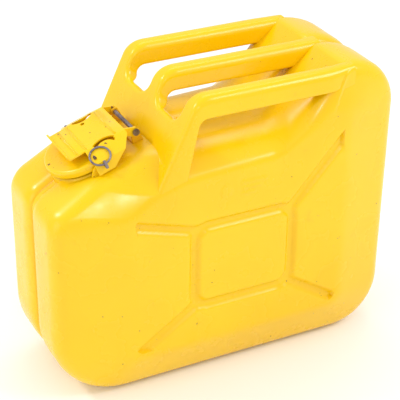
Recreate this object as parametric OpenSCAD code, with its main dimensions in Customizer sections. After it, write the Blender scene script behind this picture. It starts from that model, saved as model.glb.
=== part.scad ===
// Ten litre pressed-steel jerry can with three handle bars and a clamp-lever closure.
// X runs along the can's length with the filler at -X, Z is up, and the can is mirrored about
// the plane y = 0. The origin is the middle of the base.

/* [Body] */
// Length of the body
body_length = 345; // [340:1:360]
// Width across the two side panels
body_width = 150; // [146:1:156]
// Height of the hump at the rear
body_height = 293; // [290:1:298]
// Thickness of the pressed sheet
sheet = 1.2; // [1:0.1:1.6]
// Depth of the groove that the seam lies in
seam_depth = 6; // [4:0.5:8]
// Depth of the pressed cross on each side
press_depth = 3.6; // [2:0.2:4.4]
// Width of the pressed cross's channel at the surface
press_width = 12; // [9:0.5:14]

/* [Handles] */
// Width of a handle bar
bar_width = 19; // [16:0.5:20]
// Height of a handle bar's section
bar_depth = 21; // [18:0.5:22]
// Distance between the middles of two neighbouring bars
bar_pitch = 64.5; // [62:0.5:65]
// Thickness of the handle's sheet
handle_sheet = 1.6; // [1.2:0.1:2]

/* [Closure] */
// Forward tilt of the filler neck
neck_tilt = 24; // [20:1:28]
// Outer radius of the filler neck
neck_radius = 28; // [26:0.5:28.5]
// Radius of the lid
lid_radius = 35; // [34:0.5:35]
// Diameter of the split ring
ring_diameter = 20; // [16:1:22]

/* [Hidden] */

paint = "#ffd91a";
steel = "#8d8a90";
rubber = "#2a2a2a";

half_length = body_length / 2;
half_width = body_width / 2;
arc_steps = 7;

// ---- outline helpers -----------------------------------------------------------------------

function unit(v) = v / norm(v);
function turn(a, b, c) = cross(b - a, c - b);
function mix(a, b, t) = a + (b - a) * t;
function bezier(a, b, c, t) = mix(mix(a, b, t), mix(b, c, t), t);

// Points [x, z, normal x, normal z] on the fillet of radius r at corner b, in a loop that runs
// anticlockwise. The fillet's radius shrinks by the inset on outer corners.
function corner(a, b, c, r, steps) =
    let (
        u = unit(a - b),
        v = unit(c - b),
        half = acos(u * v) / 2,
        middle = b + unit(u + v) * r / sin(half),
        side = turn(a, b, c) > 0 ? 1 : -1,
        first = unit(b + u * r / tan(half) - middle),
        last = unit(b + v * r / tan(half) - middle)
    )
    [for (i = [0:steps])
        let (d = unit(mix(first, last, i / steps)))
        [middle.x + r * d.x, middle.y + r * d.y, side * d.x, side * d.y]];

function loop_points(corners, steps) =
    let (n = len(corners))
    [for (i = [0:n - 1])
        let (
            a = corners[(i + n - 1) % n],
            b = corners[i],
            c = corners[(i + 1) % n]
        )
        each corner([a.x, a.y], [b.x, b.y], [c.x, c.y], b[2], steps)];

function inset_points(points, inset) = [for (p = points) [p.x - inset * p[2], p.y - inset * p[3]]];

// ---- body shape ----------------------------------------------------------------------------

// Corners of the can's outline: [x, z, fillet radius, the y where the edge's rounding turns at the
// fillet's start, the same at its end, half the rounding's length]
outline = [
    [-half_length, 0, 67, 55, 55, 15],
    [half_length, 0, 52, 55, 56, 15],
    [half_length, body_height, 58, 57, 68, 14],
    [110, body_height, 10, 71, 73, 9],
    [50, 242, 40, 52, 50, 14],
    [-74, 238, 50, 48, 48, 14],
    [-128, 219, 50, 49, 50, 14],
    [-half_length, 192, 24, 52, 55, 15]
];

// Corners of the flat side panel that each outline corner slopes to: [x, z, fillet radius]
panel = [
    [-107, 44, 12],
    [112, 46, 12],
    [112, 262, 12],
    [94, 253, 10],
    [40, 223, 30],
    [-52, 218, 30],
    [-80, 209, 14],
    [-107, 190, 12]
];

outline_points = loop_points(outline, arc_steps);
panel_points = loop_points(panel, arc_steps);
edge_turns = [for (c = outline) each [for (i = [0:arc_steps]) [mix(c[3], c[4], i / arc_steps), c[5]]]];

// One ring of the skin. Stages 0 to 1 climb out of the seam groove, 1 to 2 round the edge of the
// outline, and 2 to 3 bend into the flat panel.
function skin_point(i, stage, inset) =
    let (
        rim = inset_points(outline_points, inset)[i],
        floor_point = inset_points(outline_points, seam_depth + inset)[i],
        flat = inset_points(panel_points, inset / 2)[i],
        inner = inset_points(panel_points, 5)[i],
        bend = edge_turns[i],
        edge = [rim.x, bend[0] - inset / 2, rim.y],
        face = [flat.x, half_width - inset, flat.y],
        slope = unit(face - edge)
    )
    stage <= 1
        ? bezier([floor_point.x, 2.5 + inset, floor_point.y], [rim.x, 5 + inset, rim.y], [rim.x, 18, rim.y], stage)
        : stage <= 2
            ? bezier(edge - [0, bend[1], 0], edge, edge + slope * bend[1], stage - 1)
            : bezier(face - slope * 7, face, [inner.x, half_width - inset, inner.y], stage - 2);

function skin_rings(inset) = [
    for (stage = [0, 0.25, 0.5, 0.75, 1, 1.01, 1.2, 1.4, 1.6, 1.8, 2, 2.01, 2.33, 2.66, 3])
        [for (i = [0:len(outline_points) - 1]) skin_point(i, stage, inset)]
];

// Half of the can's body as a solid, from the plane y = open_at outwards.
module half_body(inset, open_at) {
    rings = skin_rings(inset);
    start = [for (p = rings[0]) [p.x, open_at, p.z]];
    stack = concat([start], rings);
    n = len(start);
    count = len(stack);
    points = [for (ring = stack) each ring];
    walls = [
        for (k = [0:count - 2], i = [0:n - 1])
            let (j = (i + 1) % n)
            each [[k * n + i, k * n + j, (k + 1) * n + j], [k * n + i, (k + 1) * n + j, (k + 1) * n + i]]
    ];
    near_end = [for (i = [n - 1:-1:0]) i];
    far_end = [for (i = [0:n - 1]) (count - 1) * n + i];
    polyhedron(points, concat(walls, [near_end], [far_end]), convexity = 6);
}

// The cross pressed into each side: a frame round the centre field and an arm to each corner.
frame_left = -44;
frame_right = 55.5;
frame_low = 84.5;
frame_high = 167.5;
frame_corners = [[frame_left, frame_low], [frame_right, frame_low], [frame_right, frame_high], [frame_left, frame_high]];
arm_ends = [[-102, 47], [107, 52.5], [107, 226], [-102, 184.5]];

module channel_end(at, grow, sink) {
    translate([at.x, half_width - sink, at.y])
        rotate([-90, 0, 0])
            cylinder(h = press_depth + 2, r1 = press_width / 2 - 2.6 + grow, r2 = press_width / 2 + 1.2 + grow, $fn = 24);
}

module pressed_cross(grow, sink) {
    for (i = [0:3]) {
        hull() {
            channel_end(frame_corners[i], grow, sink);
            channel_end(frame_corners[(i + 1) % 4], grow, sink);
        }
        hull() {
            channel_end(frame_corners[i], grow, sink);
            channel_end(arm_ends[i], grow, sink);
        }
    }
}

// A raised drop beside three level bars: a plain capacity mark.
module capacity_mark() {
    translate([-14, half_width - 0.6, 197]) {
        rotate([-90, 0, 0]) cylinder(h = 1.6, r = 6, $fn = 32);
        hull() {
            rotate([-90, 0, 0]) translate([0, -1.5, 0]) cylinder(h = 1.6, r = 5.2, $fn = 32);
            rotate([-90, 0, 0]) translate([0, -11, 0]) cylinder(h = 1.6, r = 0.6, $fn = 16);
        }
    }
    for (i = [0:2]) translate([2, half_width - 0.6, 191.5 + 5.5 * i]) cube([12 + 6 * i, 1.6, 2.4]);
}

seat_radius = lid_radius - 0.6;

module half_shell() {
    difference() {
        union() {
            difference() {
                half_body(0, 0.05);
                pressed_cross(0, press_depth);
            }
            capacity_mark();
        }
        difference() {
            half_body(sheet, -2);
            pressed_cross(sheet, press_depth + sheet);
        }
        at_neck() translate([0, 0, -40]) cylinder(h = 80, r = seat_radius, $fn = 64);
    }
}

module shell_left() color(paint) half_shell();
module shell_right() color(paint) mirror([0, 1, 0]) half_shell();

// A slab down the middle of the can, inset from its outline.
module middle_slab(inset, width) {
    rotate([90, 0, 0]) linear_extrude(width, center = true) polygon(inset_points(outline_points, inset));
}

// The two rims are welded together over a band that lines the bottom of the groove.
band_width = 4.6;
band_inset = seam_depth - sheet - 0.1;

module seam_band() {
    color(paint)
        difference() {
            middle_slab(band_inset, band_width);
            middle_slab(seam_depth - 0.05, band_width + 1);
            at_neck() translate([0, 0, -20]) cylinder(h = 60, r = seat_radius);
        }
}

// ---- handles -------------------------------------------------------------------------------

bar_top = body_height;
bar_round = 8;
leg_round = 4;
// The section is shallower round the bend, so that it clears the bend's middle
bend_depth = 19;
bar_bend = 21;
plate_slope = 65;
plate_foot = [-70.4, 231];
bar_rise = bar_top - bar_bend;
// The bend's middle, placed so that the plate's front face runs off it as a tangent
bend_x = plate_foot.x + (bar_rise - plate_foot.y) / tan(plate_slope) + bar_bend / sin(plate_slope);
bar_end = 112;
leg_length = (bar_rise + bar_bend * cos(plate_slope) - plate_foot.y) / sin(plate_slope);
bar_places = [-bar_pitch, 0, bar_pitch];
// How far the plate is drawn below its foot, before the body's shape trims it
plate_drop = 24;

// A bar's section: x across, y = 0 at the outer face and growing inwards, open on the inner side.
module bar_outline(r_top, r_low, w, d) {
    for (side = [-1, 1]) {
        translate([side * (w / 2 - r_top), r_top]) circle(r = r_top, $fn = 32);
        translate([side * (w / 2 - r_low), d - r_low]) circle(r = r_low, $fn = 24);
    }
    translate([-w / 2, r_top]) square([w, d - r_top - r_low]);
    translate([-w / 2 + r_top, 0]) square([w - 2 * r_top, r_top]);
    translate([-w / 2 + r_low, d - r_low]) square([w - 2 * r_low, r_low]);
}

module bar_section(r_top, depth) {
    slot = 8;
    low = 3.5;
    inner = 2 * handle_sheet;
    difference() {
        bar_outline(r_top, low, bar_width, depth);
        translate([0, handle_sheet])
            bar_outline(r_top - handle_sheet, low - handle_sheet, bar_width - inner, depth - inner);
        translate([-slot / 2, depth - low]) square([slot, 2 * low]);
    }
}

// The bar runs back from its front bend until it meets the hump.
module handle_bar(y) {
    color(paint)
        difference() {
            union() {
                translate([bend_x, y, bar_top])
                    rotate([90, 0, 90])
                        linear_extrude(bar_end - bend_x) mirror([0, 1]) bar_section(bar_round, bar_depth);
                translate([bend_x, y, bar_rise])
                    rotate([90, 0, 0])
                        rotate_extrude(angle = plate_slope, start = 90, $fn = 64)
                            translate([bar_bend, 0]) rotate(90) bar_section(bar_round, bend_depth);
            }
            hump_block();
            intersection() {
                leg_relief();
                translate([bend_x - 100, -100, 0]) cube([100, 200, bar_top]);
            }
        }
}

// Everything under the top of the can between the handles, for trimming what stands on it.
module hump_block() {
    rotate([90, 0, 0])
        linear_extrude(body_width + 20, center = true)
            polygon([
                for (p = inset_points(outline_points, -0.3)) if (p.x > 20) [p.x, max(p.y, 200)]
            ]);
}

module handle_bar_right() handle_bar(bar_places[0]);
module handle_bar_centre() handle_bar(bar_places[1]);
module handle_bar_left() handle_bar(bar_places[2]);

// Places its children on the plate's front face: x across the can, y up the plate, z into it.
module on_plate() {
    translate([plate_foot.x, 0, plate_foot.y])
        rotate([0, 90 - plate_slope, 0])
            rotate([90, 0, 90])
                children();
}

// The legs are open channels behind, shallower towards the top.
module leg_relief() {
    top = bar_top - bar_depth;
    height = 72;
    rotate([90, 0, 0])
        linear_extrude(body_width + 20, center = true)
            polygon([[-38.7 - height * 0.215, top - height], [-38.7, top], [0, top], [0, top - height]]);
}

// The gap between two legs, rounded at its lower corners
module leg_gap(y) {
    half_gap = (bar_pitch - bar_width) / 2 + 0.6;
    radius = 13;
    low = leg_length - 17 + radius;
    hull() {
        for (side = [-1, 1]) translate([y + side * (half_gap - radius), low]) circle(r = radius, $fn = 32);
        translate([y - half_gap, low + radius]) square([2 * half_gap, 2 * radius]);
    }
}

module leg_outline(round_radius, width, depth) {
    hull()
        for (side = [-1, 1], at = [round_radius, depth - round_radius])
            translate([side * (width / 2 - round_radius), at]) circle(r = round_radius, $fn = 24);
}

module leg_section() {
    difference() {
        leg_outline(leg_round, bar_width, bar_depth);
        translate([0, handle_sheet])
            leg_outline(leg_round - handle_sheet, bar_width - 2 * handle_sheet, bar_depth - 2 * handle_sheet);
    }
}

// The front plate with its three legs, trimmed to sit on the shoulders of the body.
module handle_front_plate() {
    plate_width = 2 * bar_pitch + bar_width;
    color(paint)
        difference() {
            on_plate() {
                linear_extrude(handle_sheet - 0.1)
                    difference() {
                        translate([-plate_width / 2 + leg_round + 0.4, -plate_drop])
                            square([plate_width - 2 * leg_round - 0.8, leg_length + plate_drop - 0.3]);
                        leg_gap(-bar_pitch / 2);
                        leg_gap(bar_pitch / 2);
                    }
                for (y = bar_places)
                    translate([y, -plate_drop, 0])
                        rotate([-90, 0, 0]) linear_extrude(leg_length + plate_drop) mirror([0, 1]) leg_section();
            }
            leg_relief();
            half_body(0, 0);
            mirror([0, 1, 0]) half_body(0, 0);
            middle_slab(band_inset - 0.1, band_width + 0.4);
        }
}

// ---- filler neck ---------------------------------------------------------------------------

neck_place = [-117, 0, 222.6];
lip_radius = 1.7;
lip_height = 6.5;
lip_top = lip_height + lip_radius;

// Places its children in the neck's own frame: z out of the neck, x to the rear.
module at_neck() {
    translate(neck_place) rotate([0, -neck_tilt, 0]) children();
}

module ring_of(inner, outer, low, high) {
    rotate_extrude($fn = 96) translate([inner, low]) square([outer - inner, high - low]);
}

// A turned collar that closes the hole in the body round the neck.
module neck_collar() {
    rim = seat_radius - 0.05;
    bore = neck_radius + 0.05;
    color(paint)
        at_neck()
            rotate_extrude($fn = 96)
                polygon([[bore, -8], [rim, -8], [rim, 0.6], [rim - 1.4, 1.8], [bore + 1.5, 2.4], [bore, 4]]);
}

module filler_neck() {
    wall = 1.6;
    foot = -12;
    color(paint)
        at_neck()
            rotate_extrude($fn = 96) {
                translate([neck_radius - wall, foot]) square([wall, lip_height - foot]);
                translate([neck_radius - 0.2, lip_height]) circle(r = lip_radius, $fn = 32);
            }
}

breather_x = 8;
breather_y = 16.5;
breather_radius = 5;

// Two straight rods that meet at a ball, each run on by extra at its free end.
module elbow_rod(radius, ball, extra) {
    knee = -19;
    top = -2;
    run = 110;
    rise = 6;
    translate([breather_x, breather_y, knee]) {
        cylinder(h = top - knee + extra, r = radius);
        rotate([0, 90 + neck_tilt - rise, 0]) cylinder(h = run + extra, r = radius);
        sphere(r = ball);
    }
}

// The breather lets air into the space under the handles while the can pours.
module breather_tube() {
    bore = breather_radius - 1;
    color(steel)
        at_neck()
            difference() {
                elbow_rod(breather_radius, breather_radius + 0.6, 0, $fn = 32);
                elbow_rod(bore, bore + 0.3, 1, $fn = 32);
            }
}

module breather_clip() {
    color(steel)
        at_neck()
            difference() {
                translate([breather_x, breather_y, -6]) {
                    cylinder(h = 4, r = breather_radius + 1.4);
                    translate([-4, 0, 0]) cube([8, 12, 4]);
                }
                translate([breather_x, breather_y, -10]) cylinder(h = 12, r = breather_radius + 0.02);
                ring_of(neck_radius - 1.62, neck_radius + 10, -10, 2);
            }
}

// ---- closure -------------------------------------------------------------------------------

closure_sheet = 1.5;
bore_gap = 0.1;

// The cross pin that the lid hangs on, in the neck's frame
cross_x = 2;
cross_z = 14.4;
cross_radius = 1.5;

// The lever lies a little flatter than the neck's mouth. Its own frame has the cross pin at its
// origin, x to the rear and z off the lever's top.
lever_turn = 4;
lever_top = 5;
lever_front = -19;
lever_half = 24.5;
plate_rear = 36;

// The lever's hinge and its locking pin, in the lever's frame
hinge_at = [44.3, -3.3];
hinge_radius = 2;
lock_at = [4.5, -6];
lock_radius = 1.5;

cheek_y = 40.1;
cheek_foot = -13;
cheek_flare = 2.4;
lug_y = 37.9;

module at_lever() {
    at_neck() translate([cross_x, 0, cross_z]) rotate([0, lever_turn, 0]) children();
}

// An upright plate with its outline given as [x, z] points, from y to y + thick.
module upright(points, y, thick) {
    translate([0, y + thick, 0]) rotate([90, 0, 0]) linear_extrude(thick) polygon(points);
}

// A rod across the can, centred on the plane y = 0.
module cross_rod(at, radius, length) {
    translate([at.x, 0, at.y]) rotate([90, 0, 0]) cylinder(h = length, r = radius, center = true);
}

module hinge_bracket() {
    foot_front = -14.4;
    foot_rear = -15.8;
    front = 38.5;
    rear = 48.5;
    ear_outer = 21.9;
    x = hinge_at.x;
    z = hinge_at.y;
    ear = [
        [front, foot_front], [rear, foot_rear], [x + 4, z - 3], [x + 2.6, z + 2.6],
        [x, z + 3.7], [x - 2.6, z + 2.6], [x - 4, z - 3]
    ];
    foot = [
        [front, foot_front], [rear, foot_rear],
        [rear, foot_rear + closure_sheet], [front, foot_front + closure_sheet]
    ];
    color(paint)
        at_lever()
            difference() {
                union() {
                    upright(ear, -ear_outer, closure_sheet);
                    upright(ear, ear_outer - closure_sheet, closure_sheet);
                    upright(foot, -ear_outer + closure_sheet / 2, 2 * ear_outer - closure_sheet);
                }
                cross_rod(hinge_at, hinge_radius, 60);
            }
}

module hinge_pin() {
    head_y = 25.9;
    color(steel)
        at_lever() {
            cross_rod(hinge_at, hinge_radius, 2 * head_y);
            for (side = [-1, 1]) translate([0, side * head_y, 0]) cross_rod(hinge_at, 3.2, 1.4);
        }
}

// The locking pin's place in the neck's frame
lock_seat = [
    cross_x + lock_at.x * cos(lever_turn) + lock_at.y * sin(lever_turn),
    cross_z - lock_at.x * sin(lever_turn) + lock_at.y * cos(lever_turn)
];
notch_gap = 0.4;

// A lug that stands on the body beside the lid, with a notch that the locking pin lies in.
module catch_lug(side) {
    lug = [[-9, 0.95], [15, -0.9], [13, 7], [11, 10.4], [1.4, 10.4], [-5, 7]];
    mouth = lock_seat + [0.4, 12];
    color(paint)
        at_neck()
            difference() {
                upright(lug, side > 0 ? lug_y - closure_sheet : -lug_y, closure_sheet);
                hull() {
                    cross_rod(lock_seat, lock_radius + notch_gap, 100, $fn = 48);
                    cross_rod(mouth, lock_radius + 1.6, 100, $fn = 48);
                }
            }
}

module catch_lug_right() catch_lug(-1);
module catch_lug_left() catch_lug(1);

// Half the lever's section across the can: flat top, sloping flank, flared cheek.
module lever_flank() {
    outer = lever_top;
    corner_z = -2.9;
    polygon([
        [lever_half - 0.5, outer], [lever_half - 0.5, outer - closure_sheet],
        [cheek_y - closure_sheet, corner_z - 0.8], [cheek_y + cheek_flare - closure_sheet, cheek_foot],
        [cheek_y + cheek_flare, cheek_foot], [cheek_y, corner_z], [lever_half + 0.5, outer]
    ]);
}

// An arched window through the lever where its top turns down into the flank.
module lever_window() {
    radius = 13;
    width = 2.6;
    translate([14, -lever_half - radius + 1, -3])
        rotate(40)
            rotate_extrude(angle = 95, $fn = 96) translate([radius - width / 2, 0]) square([width, 12]);
}

module clamp_lever() {
    x = hinge_at.x;
    z = hinge_at.y;
    ear = [
        [24, lever_top], [plate_rear, lever_top], [x + 1, z + 4.2], [x + 4.2, z],
        [x + 1, z - 3.8], [x - 3, z - 3.8], [34, -1.5], [24, 2]
    ];
    top_low = lever_top - closure_sheet;
    flank_front = -4;
    color(paint)
        at_lever()
            difference() {
                union() {
                    translate([lever_front, -lever_half, top_low])
                        cube([plate_rear - lever_front, 2 * lever_half, closure_sheet]);
                    // turned-up finger lip
                    translate([lever_front, -lever_half, top_low])
                        rotate([0, -25, 0]) cube([closure_sheet, 2 * lever_half, 4.6]);
                    // stiffening ridges across the top
                    for (ridge = [-11, -2, 27])
                        translate([ridge, 0, lever_top - 0.7])
                            rotate([90, 0, 0]) cylinder(h = 46, r = 1.5, center = true);
                    for (side = [0, 1])
                        mirror([0, side, 0]) {
                            difference() {
                                translate([flank_front, 0, 0])
                                    rotate([90, 0, 90]) linear_extrude(plate_rear - flank_front) lever_flank();
                                upright([[10, cheek_foot - 1], [plate_rear, 3], [plate_rear + 1, -20]], 20, 40);
                            }
                            upright(ear, 23.2, closure_sheet);
                        }
                }
                cross_rod(hinge_at, hinge_radius + bore_gap, 60);
                cross_rod([0, 0], cross_radius + 0.02, 80);
                translate([0, -45, 0]) cross_rod(lock_at, lock_radius + bore_gap, 20);
                lever_window();
                mirror([0, 1, 0]) lever_window();
                translate([11.5, 16, 0]) cylinder(h = 10, r = 2);
            }
}

module lid_cross_pin() {
    color(steel) at_lever() cross_rod([0, 0], cross_radius, 68);
}

lid_sheet = 1.2;
lid_under = lip_top + 2;
lid_top = lid_under + lid_sheet;
rivet_radius = 3;

module lid() {
    edge = 3;
    skirt = 5.4;
    color(paint)
        at_neck()
            difference() {
                rotate_extrude($fn = 128)
                    difference() {
                        union() {
                            square([lid_radius - edge, lid_top]);
                            square([lid_radius, lid_top - edge]);
                            translate([lid_radius - edge, lid_top - edge]) circle(r = edge, $fn = 48);
                        }
                        translate([-1, -1]) square([lid_radius - lid_sheet + 1, lid_under + 1]);
                        translate([-1, -1]) square([lid_radius + 2, lid_under - skirt + 1]);
                    }
                cylinder(h = 60, r = rivet_radius, center = true);
            }
}

module lid_bridge() {
    low = lid_top + 0.05;
    thick = 1;
    x = cross_x;
    z = cross_z;
    lug = [
        [-6, low], [10, low], [10, low + thick], [x + 2.2, z], [x + 1.6, z + 1.9],
        [x, z + 2.6], [x - 1.6, z + 1.9], [x - 2.2, z], [-6, low + thick]
    ];
    half = 12.75;
    color(paint)
        at_neck()
            difference() {
                union() {
                    upright(lug, -half, closure_sheet);
                    upright(lug, half - closure_sheet, closure_sheet);
                    translate([-6, -half, low]) cube([16, 2 * half, thick]);
                }
                cross_rod([x, z], cross_radius + bore_gap, 60);
                cylinder(h = 60, r = rivet_radius, center = true);
            }
}

retainer_low = lip_top - 1.2;

module lid_rivet() {
    head = 1.2;
    color(steel)
        at_neck() {
            translate([0, 0, retainer_low - head]) cylinder(h = lid_top + 1.05 - retainer_low + head, r = rivet_radius - 0.05);
            translate([0, 0, retainer_low - head - 0.05]) cylinder(h = head, r = 5);
        }
}

module lid_gasket() {
    color(rubber) at_neck() ring_of(23, 32.4, lip_top + 0.05, lid_under - 0.05);
}

module gasket_retainer() {
    color(steel)
        at_neck()
            difference() {
                union() {
                    translate([0, 0, retainer_low]) cylinder(h = 1.2, r = 24.6);
                    translate([0, 0, retainer_low]) cylinder(h = lid_under - 0.05 - retainer_low, r = 22.8);
                }
                translate([0, 0, retainer_low + 1.2]) cylinder(h = 20, r = 21.6);
                cylinder(h = 60, r = rivet_radius, center = true);
            }
}

// The locking pin's flat head, with its eye above the pin's own line
head_y = -44;
eye_lift = 2.4;
eye_radius = 1.5;
ring_wire = 0.9;
// How steeply the split ring leans on the lever's flank
ring_lean = 27;

module locking_pin() {
    shank = 10;
    eye = [lock_at.x, head_y, lock_at.y + eye_lift];
    color(steel)
        at_lever()
            difference() {
                union() {
                    translate([lock_at.x, -35.4, lock_at.y])
                        rotate([90, 0, 0]) cylinder(h = shank, r = lock_radius);
                    translate(eye - [1.1, 2, 4.2]) cube([2.2, 4, 6.6]);
                }
                translate(eye) rotate([0, 90, 0]) cylinder(h = 12, r = eye_radius, center = true);
            }
}

// The split ring threads the pin's eye and leans back on the lever's flank.
module split_ring() {
    radius = ring_diameter / 2 - ring_wire;
    color(steel)
        at_lever()
            translate([lock_at.x, head_y, lock_at.y + eye_lift])
                rotate([ring_lean, 0, 0])
                    translate([0, radius, 0])
                        rotate_extrude($fn = 64) translate([radius, 0]) circle(r = ring_wire, $fn = 24);
}

shell_right();
shell_left();
seam_band();
handle_front_plate();
handle_bar_right();
handle_bar_centre();
handle_bar_left();
neck_collar();
filler_neck();
breather_tube();
breather_clip();
hinge_bracket();
hinge_pin();
catch_lug_right();
catch_lug_left();
clamp_lever();
lid_cross_pin();
lid();
lid_bridge();
lid_rivet();
lid_gasket();
gasket_retainer();
locking_pin();
split_ring();
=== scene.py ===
"""Ten litre jerry can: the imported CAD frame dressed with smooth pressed-steel skins, paint and light."""

import math

import bmesh
import bpy
from mathutils import Matrix, Vector, geometry

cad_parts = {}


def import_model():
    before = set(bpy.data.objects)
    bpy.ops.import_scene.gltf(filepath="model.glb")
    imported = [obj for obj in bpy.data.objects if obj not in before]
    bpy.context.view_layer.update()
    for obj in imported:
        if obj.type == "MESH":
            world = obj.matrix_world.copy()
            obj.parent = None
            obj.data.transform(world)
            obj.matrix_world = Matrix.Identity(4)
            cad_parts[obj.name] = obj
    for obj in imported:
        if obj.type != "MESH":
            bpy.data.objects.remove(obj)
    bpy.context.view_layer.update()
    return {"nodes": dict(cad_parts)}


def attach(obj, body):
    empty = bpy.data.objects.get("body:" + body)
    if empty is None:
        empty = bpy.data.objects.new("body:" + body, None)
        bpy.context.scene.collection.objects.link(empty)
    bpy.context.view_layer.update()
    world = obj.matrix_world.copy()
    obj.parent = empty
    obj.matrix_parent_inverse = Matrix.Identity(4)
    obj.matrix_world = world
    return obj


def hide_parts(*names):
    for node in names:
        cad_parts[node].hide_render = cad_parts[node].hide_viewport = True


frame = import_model()

MM = 0.001

# ---- sizes shared with the CAD source, in millimetres ------------------------------------------

HALF_LENGTH = 172.5
HALF_WIDTH = 75.0
HEIGHT = 293.0
SHEET = 1.2
SEAM_DEPTH = 6.0
PRESS_DEPTH = 3.8

NECK_PLACE = Vector((-117.0, 0.0, 222.6))
NECK_TILT = math.radians(24)
NECK_HOLE = 34.3

# [x, z, fillet radius, where the edge's rounding turns at the fillet's start and end, its length]
OUTLINE = (
    (-HALF_LENGTH, 0, 67, 55, 55, 15),
    (HALF_LENGTH, 0, 52, 55, 56, 15),
    (HALF_LENGTH, HEIGHT, 58, 57, 68, 14),
    (110, HEIGHT, 10, 71, 73, 9),
    (50, 242, 40, 52, 50, 14),
    (-74, 238, 50, 48, 48, 14),
    (-128, 219, 50, 49, 50, 14),
    (-HALF_LENGTH, 192, 24, 52, 55, 15),
)
PANEL = (
    (-107, 44, 12),
    (112, 46, 12),
    (112, 262, 12),
    (94, 253, 10),
    (40, 223, 30),
    (-52, 218, 30),
    (-80, 209, 14),
    (-107, 190, 12),
)
ARC_STEPS = 14
STRAIGHT_STEPS = 22


# ---- small helpers -----------------------------------------------------------------------------


def mix(a, b, t):
    return a + (b - a) * t


def smooth_step(low, high, value):
    t = min(1.0, max(0.0, (value - low) / (high - low)))
    return t * t * (3 - 2 * t)


def bezier(a, b, c, t):
    return mix(mix(a, b, t), mix(b, c, t), t)


def new_object(name, mesh):
    piece = bpy.data.objects.new(name, mesh)
    bpy.context.scene.collection.objects.link(piece)
    return piece


def make_piece(name, points, faces, material):
    """A smooth-shaded object from points in millimetres in the row frame."""
    mesh = bpy.data.meshes.new(name)
    mesh.from_pydata([tuple(Vector(p) * MM) for p in points], [], faces)
    mesh.validate()
    mesh.update()
    mesh.polygons.foreach_set("use_smooth", [True] * len(mesh.polygons))
    mesh.materials.append(material)
    return new_object(name, mesh)


def fix_normals(piece):
    work = bmesh.new()
    work.from_mesh(piece.data)
    bmesh.ops.recalc_face_normals(work, faces=work.faces)
    work.to_mesh(piece.data)
    work.free()
    piece.data.polygons.foreach_set("use_smooth", [True] * len(piece.data.polygons))


def apply_modifiers(piece):
    """Bakes the piece's modifiers into its mesh."""
    depsgraph = bpy.context.evaluated_depsgraph_get()
    baked = bpy.data.meshes.new_from_object(piece.evaluated_get(depsgraph))
    piece.modifiers.clear()
    piece.data = baked


def neck_matrix():
    return Matrix.Translation(NECK_PLACE * MM) @ Matrix.Rotation(-NECK_TILT, 4, "Y")


# ---- materials ---------------------------------------------------------------------------------


class Nodes:
    """A short way to write a node tree."""

    def __init__(self, name):
        self.material = bpy.data.materials.new(name)
        self.material.use_nodes = True
        self.tree = self.material.node_tree
        self.tree.nodes.clear()
        self.shader = self.add("ShaderNodeBsdfPrincipled")
        output = self.add("ShaderNodeOutputMaterial")
        self.link(self.shader.outputs[0], output.inputs["Surface"])
        self.place = self.add("ShaderNodeTexCoord").outputs["Object"]

    def add(self, kind, **values):
        node = self.tree.nodes.new(kind)
        for key, value in values.items():
            setattr(node, key, value)
        return node

    def link(self, source, target):
        self.tree.links.new(source, target)

    def noise(self, scale, detail=3.0, roughness=0.5, stretch=None):
        node = self.add("ShaderNodeTexNoise")
        node.inputs["Scale"].default_value = scale
        node.inputs["Detail"].default_value = detail
        node.inputs["Roughness"].default_value = roughness
        source = self.place
        if stretch:
            mapping = self.add("ShaderNodeMapping")
            mapping.inputs["Scale"].default_value = stretch
            self.link(self.place, mapping.inputs["Vector"])
            source = mapping.outputs["Vector"]
        self.link(source, node.inputs["Vector"])
        return node.outputs["Fac"]

    def ramp(self, source, low, high, bottom=0.0, top=1.0):
        node = self.add("ShaderNodeMapRange")
        node.interpolation_type = "SMOOTHSTEP"
        node.inputs["From Min"].default_value = low
        node.inputs["From Max"].default_value = high
        node.inputs["To Min"].default_value = bottom
        node.inputs["To Max"].default_value = top
        self.link(source, node.inputs["Value"])
        return node.outputs["Result"]

    def math(self, operation, a, b):
        node = self.add("ShaderNodeMath", operation=operation)
        for socket, value in zip(node.inputs, (a, b)):
            if isinstance(value, (int, float)):
                socket.default_value = value
            else:
                self.link(value, socket)
        return node.outputs[0]

    def mix_colour(self, factor, a, b):
        node = self.add("ShaderNodeMix", data_type="RGBA")
        self.link(factor, node.inputs["Factor"])
        sockets = [s for s in node.inputs if s.type == "RGBA"]
        for socket, value in zip(sockets, (a, b)):
            if isinstance(value, tuple):
                socket.default_value = value
            else:
                self.link(value, socket)
        return [s for s in node.outputs if s.type == "RGBA"][0]

    def bump(self, height, strength, distance, normal=None):
        node = self.add("ShaderNodeBump")
        node.inputs["Strength"].default_value = strength
        node.inputs["Distance"].default_value = distance
        self.link(height, node.inputs["Height"])
        if normal is not None:
            self.link(normal, node.inputs["Normal"])
        return node.outputs["Normal"]


LIGHT_GRIME = 0.35


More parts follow.
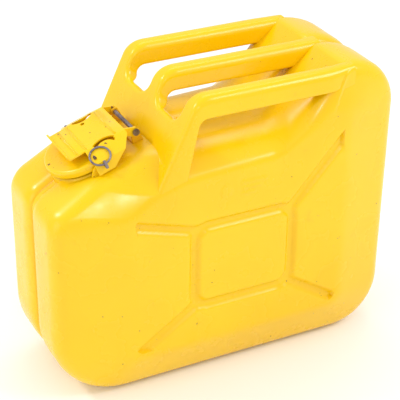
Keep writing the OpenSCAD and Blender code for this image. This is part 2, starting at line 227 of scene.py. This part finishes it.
def paint_material(name, chips, grime_and_shade_share=LIGHT_GRIME):
    """Glossy yellow enamel: faint colour drift, orange peel, a few specks, some chips and some grime. A share
    above LIGHT_GRIME adds painted shade: a brown wash over most of the part.
    """
    n = Nodes(name)
    shader = n.shader.inputs
    deep = (0.87, 0.53, 0.0, 1.0)
    bright = (0.9, 0.57, 0.001, 1.0)
    colour = n.mix_colour(n.ramp(n.noise(9.0, 4.0), 0.35, 0.7), bright, deep)
    # A share above LIGHT_GRIME is painted shade: the extra brown wash spreads over most of the part in place
    # of shade.
    painted_shade = grime_and_shade_share - LIGHT_GRIME
    grime_and_shade = n.ramp(n.noise(60.0, 5.0, 0.6), 0.6 - painted_shade / 2, 0.8, painted_shade, grime_and_shade_share)
    colour = n.mix_colour(grime_and_shade, colour, (0.75, 0.4, 0.01, 1.0))
    specks = n.ramp(n.noise(230.0, 2.0), 0.74 - 0.05 * chips, 0.79 - 0.05 * chips)
    colour = n.mix_colour(specks, colour, (0.2, 0.09, 0.02, 1.0))
    n.link(colour, shader["Base Color"])
    rough = n.ramp(n.noise(35.0, 4.0), 0.3, 0.75, 0.2, 0.34)
    rough = n.math("ADD", rough, n.math("MULTIPLY", specks, 0.35))
    n.link(rough, shader["Roughness"])
    peel = n.bump(n.noise(420.0, 2.0), 0.05, 0.0004)
    dents = n.bump(n.noise(14.0, 2.0), 0.12, 0.0012, peel)
    n.link(dents, shader["Normal"])
    shader["Metallic"].default_value = 0.0
    shader["Specular IOR Level"].default_value = 0.45
    return n.material


def steel_material():
    """Dull zinc plate with darker stains and fine drawn scratches."""
    n = Nodes("zinc_steel")
    shader = n.shader.inputs
    stain = n.ramp(n.noise(120.0, 5.0, 0.6), 0.4, 0.7)
    n.link(n.mix_colour(stain, (0.26, 0.23, 0.25, 1.0), (0.1, 0.07, 0.07, 1.0)), shader["Base Color"])
    n.link(n.ramp(n.noise(300.0, 3.0), 0.3, 0.7, 0.3, 0.55), shader["Roughness"])
    scratches = n.noise(400.0, 2.0, 0.5, (1.0, 0.1, 1.0))
    n.link(n.bump(scratches, 0.2, 0.0002), shader["Normal"])
    shader["Metallic"].default_value = 0.85
    return n.material


def rubber_material():
    n = Nodes("gasket_rubber")
    shader = n.shader.inputs
    dust = n.ramp(n.noise(90.0, 4.0), 0.5, 0.8)
    n.link(n.mix_colour(dust, (0.02, 0.02, 0.02, 1.0), (0.07, 0.06, 0.05, 1.0)), shader["Base Color"])
    n.link(n.ramp(n.noise(200.0, 3.0), 0.3, 0.7, 0.55, 0.75), shader["Roughness"])
    n.link(n.bump(n.noise(700.0, 2.0), 0.25, 0.0002), shader["Normal"])
    return n.material


BODY_PAINT = paint_material("yellow_enamel", 0.0)
WORN_PAINT = paint_material("yellow_enamel_worn", 1.0)
# Worn enamel with painted shade: a heavy brown wash over most of the part stands in for the shade under the
# lever, on top of real grime and chips.
GRIME_AND_SHADE_PAINT = paint_material("yellow_enamel_grime_and_painted_shade", 1.0, 0.9)
STEEL = steel_material()
RUBBER = rubber_material()


# ---- body skins --------------------------------------------------------------------------------


def fillet(before, at, after, radius, steps):
    """Points and normals on the fillet at a corner of a loop that runs anticlockwise."""
    u = (before - at).normalized()
    v = (after - at).normalized()
    half = math.acos(max(-1.0, min(1.0, u.dot(v)))) / 2
    middle = at + (u + v).normalized() * radius / math.sin(half)
    side = 1 if (at - before).cross(after - at) > 0 else -1
    first = (at + u * radius / math.tan(half) - middle).normalized()
    last = (at + v * radius / math.tan(half) - middle).normalized()
    sweep = math.acos(max(-1.0, min(1.0, first.dot(last))))
    made = []
    for step in range(steps + 1):
        t = step / steps
        way = (first * math.sin((1 - t) * sweep) + last * math.sin(t * sweep)) / math.sin(sweep)
        made.append((middle + way * radius, way * side))
    return made


def loop(corners, spacing=None):
    """
    Fillets joined by straight stretches, as points with their normals. Each stretch is cut into the same
    number of steps, or into steps about spacing long.
    """
    places = [Vector(c[:2]) for c in corners]
    count = len(corners)
    fillets = [
        fillet(places[i - 1], places[i], places[(i + 1) % count], corners[i][2], ARC_STEPS)
        for i in range(count)
    ]
    made = []
    for i, points in enumerate(fillets):
        made += points
        end = points[-1]
        start = fillets[(i + 1) % count][0]
        steps = STRAIGHT_STEPS
        if spacing:
            steps = max(1, round((start[0] - end[0]).length / spacing))
        for step in range(1, steps):
            t = step / steps
            made.append((mix(end[0], start[0], t), mix(end[1], start[1], t).normalized()))
    return made


def edge_turns():
    """Where the edge's rounding turns and how long it is, at each point of the outline."""
    made = []
    for i, corner in enumerate(OUTLINE):
        following = OUTLINE[(i + 1) % len(OUTLINE)]
        for step in range(ARC_STEPS + 1):
            made.append((mix(corner[3], corner[4], step / ARC_STEPS), corner[5]))
        for step in range(1, STRAIGHT_STEPS):
            t = step / STRAIGHT_STEPS
            made.append((mix(corner[4], following[3], t), mix(corner[5], following[5], t)))
    return made


OUTLINE_LOOP = loop(OUTLINE)
PANEL_LOOP = loop(PANEL)
TURNS = edge_turns()
STAGES = (
    [step / 8 for step in range(9)]
    + [1 + step / 12 for step in range(1, 13)]
    + [2 + step / 60 for step in range(1, 6)]
    + [2.1 + 0.9 * step / 6 for step in range(0, 7)]
)
SLOPE_END = 2.1

# How far the rounding at the panel's rim reaches onto the panel, and back down the slope
PANEL_INSET = 5
PANEL_ROUND = 7

# Half widths of the seam groove at its bottom and lip, and where its rounding is over
GROOVE_BOTTOM = 2.5
GROOVE_LIP = 5
GROOVE_END = 18


def skin_point(i, stage):
    """A point of the half shell's skin: out of the groove, round the edge, up the slope, onto the panel."""
    rim, normal = OUTLINE_LOOP[i]
    low = rim - normal * SEAM_DEPTH
    flat, flat_normal = PANEL_LOOP[i]
    inner = flat - flat_normal * PANEL_INSET
    turn_y, length = TURNS[i]
    edge = Vector((rim.x, turn_y, rim.y))
    face = Vector((flat.x, HALF_WIDTH, flat.y))
    slope = (face - edge).normalized()
    slope_start = edge + slope * length
    slope_end = face - slope * PANEL_ROUND
    if stage <= 1:
        bottom = Vector((low.x, GROOVE_BOTTOM, low.y))
        lip = Vector((rim.x, GROOVE_LIP, rim.y))
        return bezier(bottom, lip, Vector((rim.x, GROOVE_END, rim.y)), stage)
    if stage <= 2:
        return bezier(edge - Vector((0, length, 0)), edge, slope_start, stage - 1)
    if stage < SLOPE_END:
        return mix(slope_start, slope_end, (stage - 2) / (SLOPE_END - 2))
    t = (stage - SLOPE_END) / (3 - SLOPE_END)
    return bezier(slope_end, face, Vector((inner.x, HALF_WIDTH, inner.y)), t)


# The pressed cross: a rounded frame and an arm from each of its corners
FRAME_MIDDLE = Vector((5.75, 126.0))
FRAME_HALF = Vector((49.75, 41.5))
FRAME_ROUND = 14.0
ARM_ENDS = ((-104, 45.5), (109, 51), (109, 228), (-104, 183.5))
CHANNEL_FLAT = 2.4
CHANNEL_EDGE = 6.4
ARM_BLEND = 4.0


def segment_distance(point, a, b):
    along = max(0.0, min(1.0, (point - a).dot(b - a) / (b - a).length_squared))
    return (point - mix(a, b, along)).length


def frame_distance(point):
    d = Vector((abs(point.x - FRAME_MIDDLE.x), abs(point.y - FRAME_MIDDLE.y))) - FRAME_HALF
    d += Vector((FRAME_ROUND, FRAME_ROUND))
    outside = Vector((max(d.x, 0), max(d.y, 0))).length
    return abs(outside + min(max(d.x, d.y), 0) - FRAME_ROUND)


def arms():
    made = []
    for end in ARM_ENDS:
        end = Vector(end)
        side = Vector((math.copysign(1, end.x - FRAME_MIDDLE.x), math.copysign(1, end.y - FRAME_MIDDLE.y)))
        corner = FRAME_MIDDLE + Vector((side.x * FRAME_HALF.x, side.y * FRAME_HALF.y))
        made.append((corner - side * FRAME_ROUND * 0.25, end))
    return made


ARMS = arms()


def press_depth(x, z):
    """How far the cross is pressed in at a point of the side panel."""
    point = Vector((x, z))
    distance = frame_distance(point)
    for start, end in ARMS:
        other = segment_distance(point, start, end)
        spread = max(ARM_BLEND - abs(distance - other), 0) / ARM_BLEND
        distance = min(distance, other) - spread * spread
    return PRESS_DEPTH * (1 - smooth_step(CHANNEL_FLAT, CHANNEL_EDGE, distance))


# A plain capacity mark: a drop beside three level bars
DROP_MIDDLE = Vector((-14.0, 198.5))
DROP_RADIUS = 5.4
DROP_TIP = 9.5
DROP_SHOULDER = 4.6
BAR_START = 2.0
BARS = tuple((14.0 + 6.0 * i, 192.7 + 5.5 * i) for i in range(3))
BAR_THICKNESS = 1.1
MARK_HEIGHT = 0.8


def mark_height(x, z):
    """How far the capacity mark stands out at a point of the side panel."""
    point = Vector((x, z))
    drop = (point - DROP_MIDDLE).length - DROP_RADIUS
    tip = segment_distance(point, DROP_MIDDLE, DROP_MIDDLE + Vector((0, DROP_TIP)))
    taper = DROP_SHOULDER * (1 - max(0.0, min(1.0, (z - DROP_MIDDLE.y) / DROP_TIP)))
    distance = min(drop, tip - taper)
    for bar_end, level in BARS:
        bar = segment_distance(point, Vector((BAR_START, level)), Vector((bar_end, level)))
        distance = min(distance, bar - BAR_THICKNESS)
    return MARK_HEIGHT * (1 - smooth_step(-0.6, 0.9, distance))


# Spacing of the points inside a side panel, on the skin and on the plain solid that trims the handles
GRID = 1.6
PLAIN_GRID = 8.0


def panel_fill(rim, grid):
    """Triangles that fill a flat rim, with a regular grid of points inside it."""
    low_x = min(p.x for p in rim)
    high_x = max(p.x for p in rim)
    low_z = min(p.y for p in rim)
    high_z = max(p.y for p in rim)
    points = list(rim)
    edges = [(i, (i + 1) % len(rim)) for i in range(len(rim))]
    rows = int((high_z - low_z) / grid)
    columns = int((high_x - low_x) / grid)
    for row in range(1, rows):
        for column in range(1, columns):
            shift = 0.5 if row % 2 else 0.0
            points.append(Vector((low_x + (column + shift) * grid, low_z + row * grid)))
    made = geometry.delaunay_2d_cdt(points, edges, [], 1, 1e-5)
    return made[0], made[2], made[3]


def half_skin(side, plain=False):
    """Points and faces of one half of the can's skin. side is 1 for +Y and -1 for -Y."""
    count = len(OUTLINE_LOOP)
    points = []
    faces = []
    start = [skin_point(i, 0) for i in range(count)]
    points += [Vector((p.x, 0.05, p.z)) for p in start]
    for stage in STAGES:
        points += [skin_point(i, stage) for i in range(count)]
    rings = len(STAGES) + 1
    for ring in range(rings - 1):
        for i in range(count):
            j = (i + 1) % count
            a = ring * count
            faces.append((a + i, a + j, a + count + j, a + count + i))
    last = (rings - 1) * count
    rim = [Vector((points[last + i].x, points[last + i].z)) for i in range(count)]
    flat, triangles, origins = panel_fill(rim, PLAIN_GRID if plain else GRID)
    index = {}
    for k, (place, origin) in enumerate(zip(flat, origins)):
        old = [o for o in origin if o < count]
        if old:
            index[k] = last + old[0]
            continue
        index[k] = len(points)
        y = HALF_WIDTH
        if not plain:
            y += mark_height(place.x, place.y) - press_depth(place.x, place.y)
        points.append(Vector((place.x, y, place.y)))
    for triangle in triangles:
        corners = [index[k] for k in triangle]
        if len(set(corners)) == 3:
            faces.append(tuple(corners))
    if side < 0:
        points = [Vector((p.x, -p.y, p.z)) for p in points]
    return points, faces


def neck_cutter():
    bpy.ops.mesh.primitive_cylinder_add(vertices=128, radius=NECK_HOLE * MM, depth=0.05)
    cutter = bpy.context.object
    cutter.matrix_world = neck_matrix() @ Matrix.Translation((0, 0, 0.005))
    return cutter


def shell(name, side):
    points, faces = half_skin(side)
    piece = make_piece(name + "_skin", points, faces, BODY_PAINT)
    fix_normals(piece)
    thickness = piece.modifiers.new("sheet", "SOLIDIFY")
    thickness.thickness = SHEET * MM
    thickness.offset = -1
    cutter = neck_cutter()
    hole = piece.modifiers.new("neck_hole", "BOOLEAN")
    hole.operation = "DIFFERENCE"
    hole.solver = "EXACT"
    hole.object = cutter
    bpy.context.view_layer.update()
    apply_modifiers(piece)
    bpy.data.objects.remove(cutter)
    smooth_by_angle(piece, 50)
    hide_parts(name)
    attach(piece, "can")
    return piece


def smooth_by_angle(piece, degrees):
    piece.data.polygons.foreach_set("use_smooth", [True] * len(piece.data.polygons))
    piece.data.set_sharp_from_angle(angle=math.radians(degrees))


shell("shell_right", -1)
shell("shell_left", 1)

# ---- handles -----------------------------------------------------------------------------------

BAR_HALF = 9.5
BAR_PITCH = 64.5
BAR_TOP = 293.0
HANDLE_SHEET = 1.6
BEND_RADIUS = 21.0
PLATE_SLOPE = math.radians(65)
PLATE_FOOT = Vector((-70.4, 231.0))
UNDERSIDE = BAR_TOP - BEND_RADIUS
BEND_X = (
    PLATE_FOOT.x + (UNDERSIDE - PLATE_FOOT.y) / math.tan(PLATE_SLOPE) + BEND_RADIUS / math.sin(PLATE_SLOPE)
)
BEND_START = (UNDERSIDE + BEND_RADIUS * math.cos(PLATE_SLOPE) - PLATE_FOOT.y) / math.sin(PLATE_SLOPE)
BEND_END = BEND_START + BEND_RADIUS * PLATE_SLOPE
PLATE_LOW = -30.0
BAR_REAR = BEND_END + 132 - BEND_X
BAR_CUT = 117.0
# The outer bars narrow where they run into the rounded hump
TAPER_START = BEND_END + 92 - BEND_X
TAPER = 6.5
NOTCH_FLOOR = BEND_START - 17
LEG_ROLL = 4.0
BAR_ROLL = 8.0
REAR_ROLL = 5.5
LIP_ROLL = 2.6
LIP_WIDTH = 1.6

# Where the edge runs across the handle, at its foot, notches and bar ends, it is short with hardly any lip
NOTCH_WALL = 2.0
NOTCH_LIP_ROLL = 0.8
NOTCH_LIP_WIDTH = 0.1

EDGE_SPACING = 2.0
HANDLE_GRID = 2.6
ROLL_STEPS = 8
WALL_STEPS = 4
LIP_STEPS = 5

# The line of the legs' rear edges, and the round corner where it meets the bars' underside
REAR_CORNER = Vector((-38.7, UNDERSIDE))
REAR_LEAN = Vector((0.215, 1.0)).normalized()
REAR_ROUND = 9.0
LINE_END = 40.0
CURVE_END = 90.0


def spine(s):
    """Place, outward normal and direction of the handle's outer face, s millimetres from the plate's foot."""
    turned = min(max(s - BEND_START, 0), BEND_END - BEND_START) / BEND_RADIUS
    angle = PLATE_SLOPE - turned
    normal = Vector((-math.sin(angle), math.cos(angle)))
    along = Vector((math.cos(angle), math.sin(angle)))
    if s <= BEND_START:
        return PLATE_FOOT + along * s, normal, along
    middle = Vector((BEND_X, UNDERSIDE))
    return middle + normal * BEND_RADIUS + along * max(s - BEND_END, 0), normal, along


def rear_edge(s):
    """Where the side wall that starts at s ends: up the leg's rear edge, round the corner, along the bar."""
    if s <= LINE_END:
        place, normal = spine(s)[:2]
        to_corner = REAR_CORNER - place
        across = Vector((REAR_LEAN.y, -REAR_LEAN.x))
        return place - normal * (to_corner.dot(across) / -normal.dot(across))
    start = rear_edge(LINE_END)
    sweep = math.atan2(REAR_LEAN.y, REAR_LEAN.x)
    tangent = REAR_ROUND * math.tan(sweep / 2)
    straight = (REAR_CORNER - start).length - tangent
    arc = REAR_ROUND * sweep
    end = spine(CURVE_END)[0].x
    level = end - (REAR_CORNER.x + tangent)
    total = straight + arc + level
    if s >= CURVE_END:
        return Vector((end + s - CURVE_END, UNDERSIDE))
    gone = total * (s - LINE_END) / (CURVE_END - LINE_END)
    if gone <= straight:
        return start + REAR_LEAN * gone
    if gone <= straight + arc:
        angle = sweep - (gone - straight) / REAR_ROUND
        middle = Vector((REAR_CORNER.x + tangent, UNDERSIDE - REAR_ROUND))
        return middle + REAR_ROUND * Vector((-math.sin(angle), math.cos(angle)))
    return Vector((REAR_CORNER.x + tangent + gone - straight - arc, UNDERSIDE))


def handle_corners():
    inner = BAR_PITCH - BAR_HALF
    outer = BAR_PITCH + BAR_HALF
    return (
        (-outer, PLATE_LOW, 9),
        (outer, PLATE_LOW, 9),
        (outer, TAPER_START, 60),
        (outer - TAPER, BAR_REAR, 6),
        (inner, BAR_REAR, 6),
        (inner, NOTCH_FLOOR, 13),
        (BAR_HALF, NOTCH_FLOOR, 13),
        (BAR_HALF, BAR_REAR, 6),
        (-BAR_HALF, BAR_REAR, 6),
        (-BAR_HALF, NOTCH_FLOOR, 13),
        (-inner, NOTCH_FLOOR, 13),
        (-inner, BAR_REAR, 6),
        (TAPER - outer, BAR_REAR, 6),
        (-outer, TAPER_START, 60),
    )


def roll_radius(s):
    """How round the sheet's edge is: tight on the legs, wide on the bars, less wide where they taper."""
    on_bar = smooth_step(BEND_START - 4, BEND_END + 2, s)
    in_hump = smooth_step(TAPER_START, BAR_REAR - 14, s)
    return mix(LEG_ROLL, BAR_ROLL, on_bar) + (REAR_ROLL - BAR_ROLL) * in_hump


def on_handle(y, s, depth):
    """The point at y across and s along the handle, depth under its outer face."""
    place, normal = spine(s)[:2]
    inside = place - normal * depth
    return Vector((inside.x, y, inside.y))


def handle_rings(edge):
    """For each point of the handle's flat edge: the points of its rolled edge, side wall and lip."""
    rings = []
    for place, out in edge:
        y, s = place
        roll = roll_radius(s)
        start = place - out * roll
        column = []
        for step in range(ROLL_STEPS + 1):
            angle = math.pi / 2 * step / ROLL_STEPS
            at = start + out * roll * math.sin(angle)
            column.append(on_handle(at.x, at.y, roll * (1 - math.cos(angle))))
        wall_start = column[-1]
        side = smooth_step(0.1, 0.95, abs(out.x))
        shallow = on_handle(y, s, roll + NOTCH_WALL)
        rear = rear_edge(s)
        deep = Vector((rear.x, y, rear.y))
        wall_end = mix(shallow, deep, side)
        way = (wall_end - wall_start).normalized()
        along = spine(s)[2]
        inward = -Vector((out.y * along.x, out.x, out.y * along.y))
        lip = mix(NOTCH_LIP_ROLL, LIP_ROLL, side)
        for step in range(1, WALL_STEPS + 1):
            column.append(mix(wall_start, wall_end - way * lip, step / WALL_STEPS))
        low = column[-1]
        for step in range(1, LIP_STEPS + 1):
            angle = math.pi / 2 * step / LIP_STEPS
            column.append(low + way * lip * math.sin(angle) + inward * lip * (1 - math.cos(angle)))
        column.append(column[-1] + inward * mix(NOTCH_LIP_WIDTH, LIP_WIDTH, side))
        rings.append(column)
    return rings


def handle_surface():
    """Points and faces of the handle's whole outer sheet."""
    edge = loop(handle_corners(), EDGE_SPACING)
    columns = handle_rings(edge)
    count = len(edge)
    height = len(columns[0])
    points = [columns[i][k] for k in range(height) for i in range(count)]
    faces = []
    for k in range(height - 1):
        for i in range(count):
            j = (i + 1) % count
            faces.append((k * count + i, k * count + j, (k + 1) * count + j, (k + 1) * count + i))
    rim = []
    for place, out in edge:
        rim.append(place - out * roll_radius(place.y))
    flat, triangles, origins = panel_fill(rim, HANDLE_GRID)
    index = {}
    for k, (place, origin) in enumerate(zip(flat, origins)):
        old = [o for o in origin if o < count]
        if old:
            index[k] = old[0]
            continue
        index[k] = len(points)
        points.append(on_handle(place.x, place.y, 0))
    for triangle in triangles:
        corners = [index[k] for k in triangle]
        if len(set(corners)) == 3:
            faces.append(tuple(corners))
    return points, faces


CUTTER_GROWTH = 1.0004


def body_cutter(side):
    """One half of the body as a closed solid, slightly larger than the skin."""
    points, faces = half_skin(side, plain=True)
    rim = tuple(range(len(OUTLINE_LOOP)))
    cutter = make_piece("cutter", points, faces + [rim], BODY_PAINT)
    fix_normals(cutter)
    middle = Vector((0, 0, HEIGHT / 2)) * MM
    growth = Matrix.Scale(CUTTER_GROWTH, 4)
    cutter.matrix_world = Matrix.Translation(middle) @ growth @ Matrix.Translation(-middle)
    return cutter


def groove_cutter():
    """A slab down the middle of the can, as deep as the band at the bottom of the groove."""
    inset = SEAM_DEPTH - SHEET - 0.2
    ring = [place - normal * inset for place, normal in OUTLINE_LOOP]
    count = len(ring)
    points = [Vector((p.x, y, p.y)) for y in (-3.2, 3.2) for p in ring]
    faces = [(i, (i + 1) % count, count + (i + 1) % count, count + i) for i in range(count)]
    faces += [tuple(range(count)), tuple(range(2 * count - 1, count - 1, -1))]
    cutter = make_piece("cutter", points, faces, BODY_PAINT)
    fix_normals(cutter)
    return cutter


def cut(work, place, way, clear_outer=False):
    """Splits every face that a plane crosses, and may drop what lies beyond it."""
    everything = list(work.verts) + list(work.edges) + list(work.faces)
    bmesh.ops.bisect_plane(
        work, geom=everything, plane_co=place, plane_no=way, dist=1e-7, clear_outer=clear_outer
    )


def handles():
    """The handle's sheet, cut into the front plate and the three bars."""
    points, faces = handle_surface()
    whole = make_piece("handle_sheet", points, faces, BODY_PAINT)
    place, _, along = spine(BEND_START)
    cut_at = Vector((place.x, 0, place.y)) * MM
    cut_way = Vector((along.x, 0, along.y))
    work = bmesh.new()
    work.from_mesh(whole.data)
    bmesh.ops.recalc_face_normals(work, faces=work.faces)
    top = max(work.faces, key=lambda f: f.calc_center_median().z)
    if top.normal.z < 0:
        bmesh.ops.reverse_faces(work, faces=work.faces)
    cut(work, Vector((BAR_CUT * MM, 0, 0)), Vector((1, 0, 0)), clear_outer=True)
    cut(work, cut_at, cut_way)
    work.faces.index_update()
    names = ("handle_front_plate", "handle_bar_right", "handle_bar_centre", "handle_bar_left")
    groups = {name: [] for name in names}
    for face in work.faces:
        middle = face.calc_center_median()
        if (middle - cut_at).dot(cut_way) < 0:
            groups["handle_front_plate"].append(face.index)
        elif abs(middle.y) < BAR_PITCH * MM / 2:
            groups["handle_bar_centre"].append(face.index)
        else:
            groups["handle_bar_right" if middle.y < 0 else "handle_bar_left"].append(face.index)
    sheet = bpy.data.meshes.new("handle_cut")
    work.to_mesh(sheet)
    work.free()
    bpy.data.objects.remove(whole)
    cutters = [body_cutter(1), body_cutter(-1), groove_cutter()]
    for name, wanted in groups.items():
        handle_piece(name, sheet, set(wanted), cutters)
    for cutter in cutters:
        bpy.data.objects.remove(cutter)


def handle_piece(name, sheet, wanted, cutters):
    """One piece of the sheet, given its thickness and trimmed to the body's skin."""
    work = bmesh.new()
    work.from_mesh(sheet)
    work.faces.ensure_lookup_table()
    bmesh.ops.delete(work, geom=[f for f in work.faces if f.index not in wanted], context="FACES")
    mesh = bpy.data.meshes.new(name + "_skin")
    work.to_mesh(mesh)
    work.free()
    mesh.materials.append(BODY_PAINT)
    piece = new_object(name + "_skin", mesh)
    thickness = piece.modifiers.new("sheet", "SOLIDIFY")
    thickness.thickness = HANDLE_SHEET * MM
    thickness.offset = -1
    for cutter in cutters:
        trim = piece.modifiers.new("trim", "BOOLEAN")
        trim.operation = "DIFFERENCE"
        trim.solver = "EXACT"
        trim.object = cutter
    bpy.context.view_layer.update()
    apply_modifiers(piece)
    smooth_by_angle(piece, 50)
    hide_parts(name)
    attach(piece, "can")


handles()

# ---- carried-over CAD nodes --------------------------------------------------------------------

FINISHES = {
    "seam_band": BODY_PAINT,
    "neck_collar": WORN_PAINT,
    "filler_neck": WORN_PAINT,
    "breather_tube": STEEL,
    "breather_clip": STEEL,
    # The hinge bracket and lid bridge take the enamel with painted shade, for the shade they sit in under the
    # lever.
    "hinge_bracket": GRIME_AND_SHADE_PAINT,
    "hinge_pin": STEEL,
    "catch_lug_right": WORN_PAINT,
    "catch_lug_left": WORN_PAINT,
    "clamp_lever": WORN_PAINT,
    "lid_cross_pin": STEEL,
    "lid": WORN_PAINT,
    "lid_bridge": GRIME_AND_SHADE_PAINT,
    "lid_rivet": STEEL,
    "lid_gasket": RUBBER,
    "gasket_retainer": STEEL,
    "locking_pin": STEEL,
    "split_ring": STEEL,
}
BEVELLED = {"hinge_bracket": 0.3, "lid_bridge": 0.25, "catch_lug_right": 0.3, "catch_lug_left": 0.3}


def dress(name, material):
    node = frame["nodes"][name]
    node.data.materials.clear()
    node.data.materials.append(material)
    smooth_by_angle(node, 35)
    if name in BEVELLED:
        soften = node.modifiers.new("soft_edges", "BEVEL")
        soften.width = BEVELLED[name] * MM
        soften.segments = 2
        soften.limit_method = "ANGLE"
        soften.angle_limit = math.radians(35)


for node_name, finish_material in FINISHES.items():
    dress(node_name, finish_material)

# The lever's own frame, at its cross pin, and the arched windows through its top edges
LEVER_PLACE = Vector((-121.03, 0.0, 236.569))
LEVER_TILT = math.radians(20)
WINDOW_MIDDLE = Vector((14.0, -34.0, -3.0))
WINDOW_RADII = (10.2, 14.4)
WINDOW_START = math.radians(38)
WINDOW_SWEEP = math.radians(99)
WINDOW_HEIGHT = 14.0
WINDOW_STEPS = 32


def window_cutter(side):
    """A curved bar that widens one window. side is 1 for the -Y window and -1 for the +Y one."""
    points = []
    for step in range(WINDOW_STEPS + 1):
        angle = WINDOW_START + WINDOW_SWEEP * step / WINDOW_STEPS
        for radius in WINDOW_RADII:
            for height in (0, WINDOW_HEIGHT):
                way = Vector((math.cos(angle), math.sin(angle), 0)) * radius
                place = WINDOW_MIDDLE + way + Vector((0, 0, height))
                points.append(Vector((place.x, side * place.y, place.z)))
    faces = []
    for step in range(WINDOW_STEPS):
        a = 4 * step
        b = a + 4
        faces += [(a, a + 1, b + 1, b), (a + 3, a + 2, b + 2, b + 3)]
        faces += [(a + 1, a + 3, b + 3, b + 1), (a + 2, a, b, b + 2)]
    end = 4 * WINDOW_STEPS
    faces += [(0, 2, 3, 1), (end, end + 1, end + 3, end + 2)]
    cutter = make_piece("cutter", points, faces, WORN_PAINT)
    fix_normals(cutter)
    cutter.matrix_world = Matrix.Translation(LEVER_PLACE * MM) @ Matrix.Rotation(-LEVER_TILT, 4, "Y")
    return cutter


def lever_skin():
    """The clamp lever with wider windows."""
    source = frame["nodes"]["clamp_lever"]
    piece = new_object("clamp_lever_skin", source.data.copy())
    piece.matrix_world = source.matrix_world.copy()
    cutters = [window_cutter(1), window_cutter(-1)]
    for cutter in cutters:
        window = piece.modifiers.new("window", "BOOLEAN")
        window.operation = "DIFFERENCE"
        window.solver = "EXACT"
        window.object = cutter
    bpy.context.view_layer.update()
    apply_modifiers(piece)
    for cutter in cutters:
        bpy.data.objects.remove(cutter)
    smooth_by_angle(piece, 20)
    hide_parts("clamp_lever")
    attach(piece, "lever")


lever_skin()

# ---- studio ------------------------------------------------------------------------------------

# The camera's place, turn and lens, in metres and millimetres, found by a fit to the photograph and rounded
CAMERA_TARGET = Vector((0, 0, 0.1475))
CAMERA_AZIMUTH = math.radians(-27.17)
CAMERA_HEIGHT = math.radians(29.31)
CAMERA_ROLL = math.radians(0.73)
CAMERA_DISTANCE = 1.26
CAMERA_LENS = 119.6
SENSOR = 36


def studio_floor():
    bpy.ops.mesh.primitive_plane_add(size=8)
    floor = bpy.context.object
    floor.name = "studio_floor"
    n = Nodes("pale_floor")
    n.shader.inputs["Base Color"].default_value = (0.97, 0.97, 0.97, 1)
    n.shader.inputs["Roughness"].default_value = 0.8
    floor.data.materials.append(n.material)


def area_light(name, place, target, size, power, colour=(1, 1, 1)):
    data = bpy.data.lights.new(name, "AREA")
    data.shape = "RECTANGLE"
    data.size, data.size_y = size
    data.energy = power
    data.color = colour
    light = bpy.data.objects.new(name, data)
    bpy.context.scene.collection.objects.link(light)
    light.location = place
    light.rotation_euler = (Vector(target) - Vector(place)).to_track_quat("-Z", "Y").to_euler()


def camera():
    back = Vector(
        (
            math.sin(CAMERA_AZIMUTH) * math.cos(CAMERA_HEIGHT),
            -math.cos(CAMERA_AZIMUTH) * math.cos(CAMERA_HEIGHT),
            math.sin(CAMERA_HEIGHT),
        )
    )
    right = Vector((math.cos(CAMERA_AZIMUTH), math.sin(CAMERA_AZIMUTH), 0))
    up = back.cross(right)
    rolled_right = math.cos(CAMERA_ROLL) * right + math.sin(CAMERA_ROLL) * up
    rolled_up = -math.sin(CAMERA_ROLL) * right + math.cos(CAMERA_ROLL) * up
    data = bpy.data.cameras.new("camera")
    data.lens = CAMERA_LENS
    data.sensor_width = SENSOR
    data.shift_x = -0.0041
    data.shift_y = 0.0029
    body = bpy.data.objects.new("camera", data)
    bpy.context.scene.collection.objects.link(body)
    turn = Matrix((rolled_right, rolled_up, back)).transposed().to_4x4()
    body.matrix_world = Matrix.Translation(CAMERA_TARGET + back * CAMERA_DISTANCE) @ turn
    bpy.context.scene.camera = body


def world():
    made = bpy.data.worlds.new("studio")
    made.use_nodes = True
    background = made.node_tree.nodes["Background"]
    background.inputs["Color"].default_value = (1, 1, 1, 1)
    background.inputs["Strength"].default_value = 0.8
    bpy.context.scene.world = made


bpy.context.scene.view_settings.view_transform = "Standard"
studio_floor()
world()
camera()
area_light("key", (0.85, -0.75, 1.2), (0.05, 0, 0.15), (0.7, 0.5), 8)
area_light("streak", (-0.385, -0.875, 0.735), (-0.12, -0.06, 0.2), (0.1, 0.016), 0.75)
area_light("top", (0.3, 0.5, 1.5), (0, 0, 0.2), (0.9, 0.5), 3)
area_light("front", (-1.3, -0.3, 0.5), (0, 0, 0.15), (0.7, 0.7), 2)
area_light("back_left", (-0.95, 0.5, 1.15), (-0.05, 0, 0.2), (0.25, 0.25), 6)
